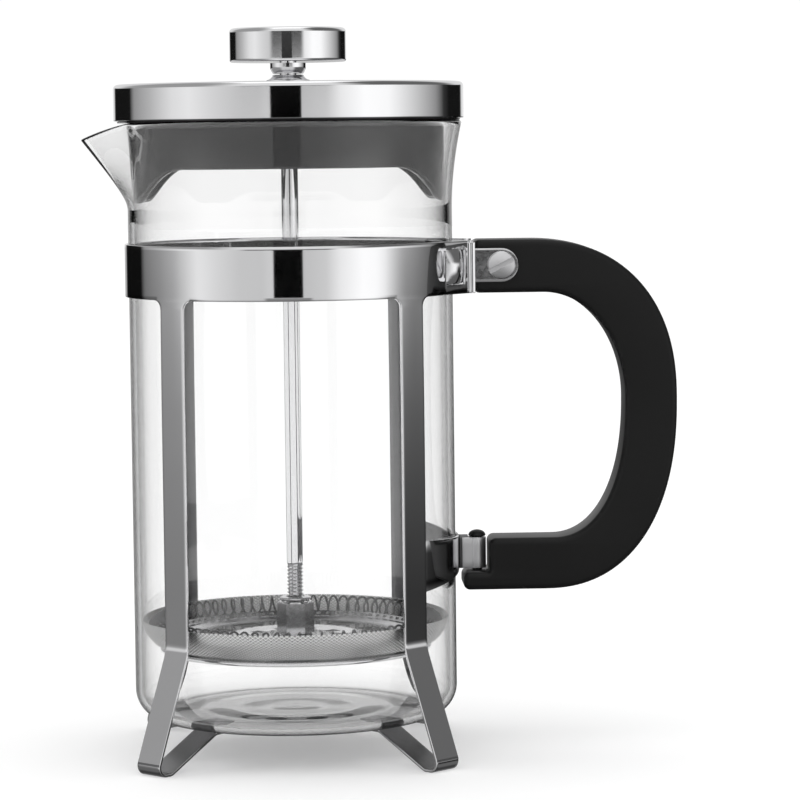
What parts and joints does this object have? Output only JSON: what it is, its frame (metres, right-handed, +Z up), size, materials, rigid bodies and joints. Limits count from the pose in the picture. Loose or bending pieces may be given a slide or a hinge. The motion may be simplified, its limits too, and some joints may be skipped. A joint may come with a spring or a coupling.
{
  "type": "french press",
  "caption": "Glass french press coffee maker in a polished steel frame with a black loop handle, a flat steel lid and a knobbed plunger with a coil-edged mesh filter.",
  "frame": {"origin": "on the table, under the middle of the bounding box; the beaker's axis is 26.65 mm to the -X side of it", "axes": "+Z up along the beaker, +X towards the handle, -X towards the spout, -Y towards the handle screw's head"},
  "size_m": [0.1774, 0.1046, 0.2172],
  "materials": {
    "polished_steel": "polished stainless steel",
    "filter_steel": "bright stainless sheet and wire",
    "screen_steel": "fine woven stainless wire",
    "glass": "clear borosilicate glass",
    "black_plastic": "satin black moulded plastic",
    "grey_plastic": "satin dark grey moulded plastic"
  },
  "bodies": {
    "stand": {"frame": "polished_steel", "clasp_strap_front": "polished_steel", "clasp_strap_rear": "polished_steel", "handle": "black_plastic", "handle_screw": "polished_steel", "handle_screw_nut": "polished_steel", "lower_bracket": "polished_steel", "lower_bracket_pin": "black_plastic"},
    "beaker": {"beaker": "glass"},
    "lid": {"lid_cap": "polished_steel", "rod_collar": "polished_steel", "lid_nut": "polished_steel"},
    "insert": {"lid_insert": "grey_plastic"},
    "plunger": {"knob": "polished_steel", "knob_neck": "polished_steel", "plunger_rod": "polished_steel", "lock_nut": "filter_steel", "hub_nut": "filter_steel", "filter_stud": "filter_steel", "spring_plate": "filter_steel", "edge_coil": "filter_steel", "mesh_screen": "screen_steel", "base_plate": "filter_steel"}
  },
  "joints": [
    {"name": "beaker_lift", "type": "slide", "parent": "stand", "child": "beaker", "axis": [0, 0, 1], "range_m": [0, 0.16]},
    {"name": "lid_lift", "type": "slide", "parent": "beaker", "child": "lid", "axis": [0, 0, 1], "range_m": [0, 0.18]},
    {"name": "lid_turn", "type": "hinge", "parent": "lid", "child": "insert", "pos_m": [-0.02665, 0, 0.19], "axis": [0, 0, 1], "continuous": true},
    {"name": "plunger_slide", "type": "slide", "parent": "lid", "child": "plunger", "axis": [0, 0, 1], "range_m": [0, 0.12]}
  ]
}
